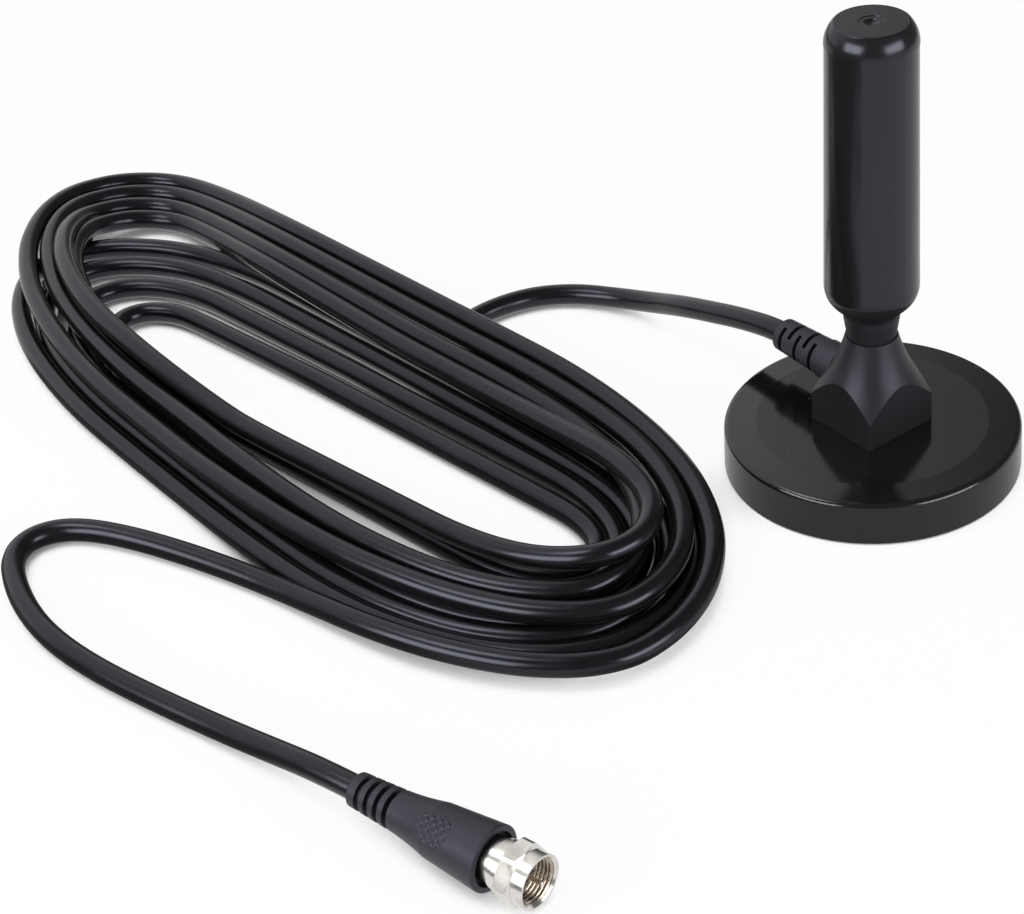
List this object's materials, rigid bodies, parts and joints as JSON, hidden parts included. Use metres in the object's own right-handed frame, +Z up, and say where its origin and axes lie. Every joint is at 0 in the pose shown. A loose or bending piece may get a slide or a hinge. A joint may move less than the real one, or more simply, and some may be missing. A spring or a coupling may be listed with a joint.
{
  "type": "tv antenna",
  "caption": "Short rod antenna on a cone-topped hub and a round magnetic base, with a slotted strain relief and a coiled coax cable that ends in an F plug with a free-spinning nut.",
  "frame": {"origin": "centre of the base's underside, on the floor", "axes": "+Z up the mast, +X and +Y square to the hub's sides; the cable leaves the hub towards -X"},
  "size_m": [0.2884, 0.1987, 0.1016],
  "materials": {
    "gloss_black": "gloss",
    "satin_black": "satin",
    "soft_black": "matte",
    "cable_jacket": "satin",
    "pad_foam": "matte",
    "steel": "zinc plated",
    "ferrite": "matte",
    "board": "matte",
    "copper": "bare",
    "nickel": "nickel plated",
    "insulator": "matte",
    "bright_pin": "bright"
  },
  "bodies": {
    "antenna": {"base_cover": "gloss_black", "base_yoke": "steel", "base_magnet": "ferrite", "base_pad": "pad_foam", "hub": "satin_black", "hub_screws": "steel", "mast_tube": "satin_black", "mast_cap": "gloss_black", "element_board": "board", "element_foil": "copper", "feed_wire": "copper", "strain_relief": "soft_black", "cable_lead": "cable_jacket", "cable_coil": "cable_jacket", "cable_tail": "cable_jacket", "plug_boot": "soft_black", "plug_collar": "nickel", "plug_post": "nickel", "plug_core": "insulator", "plug_pin": "bright_pin"},
    "coupling_nut": {"plug_nut": "nickel"}
  },
  "joints": [
    {"name": "nut_spin", "type": "hinge", "parent": "antenna", "child": "coupling_nut", "pos_m": [0.05558, -0.13487, 0.00655], "axis": [0.9673, 0.2538, 0], "continuous": true}
  ]
}
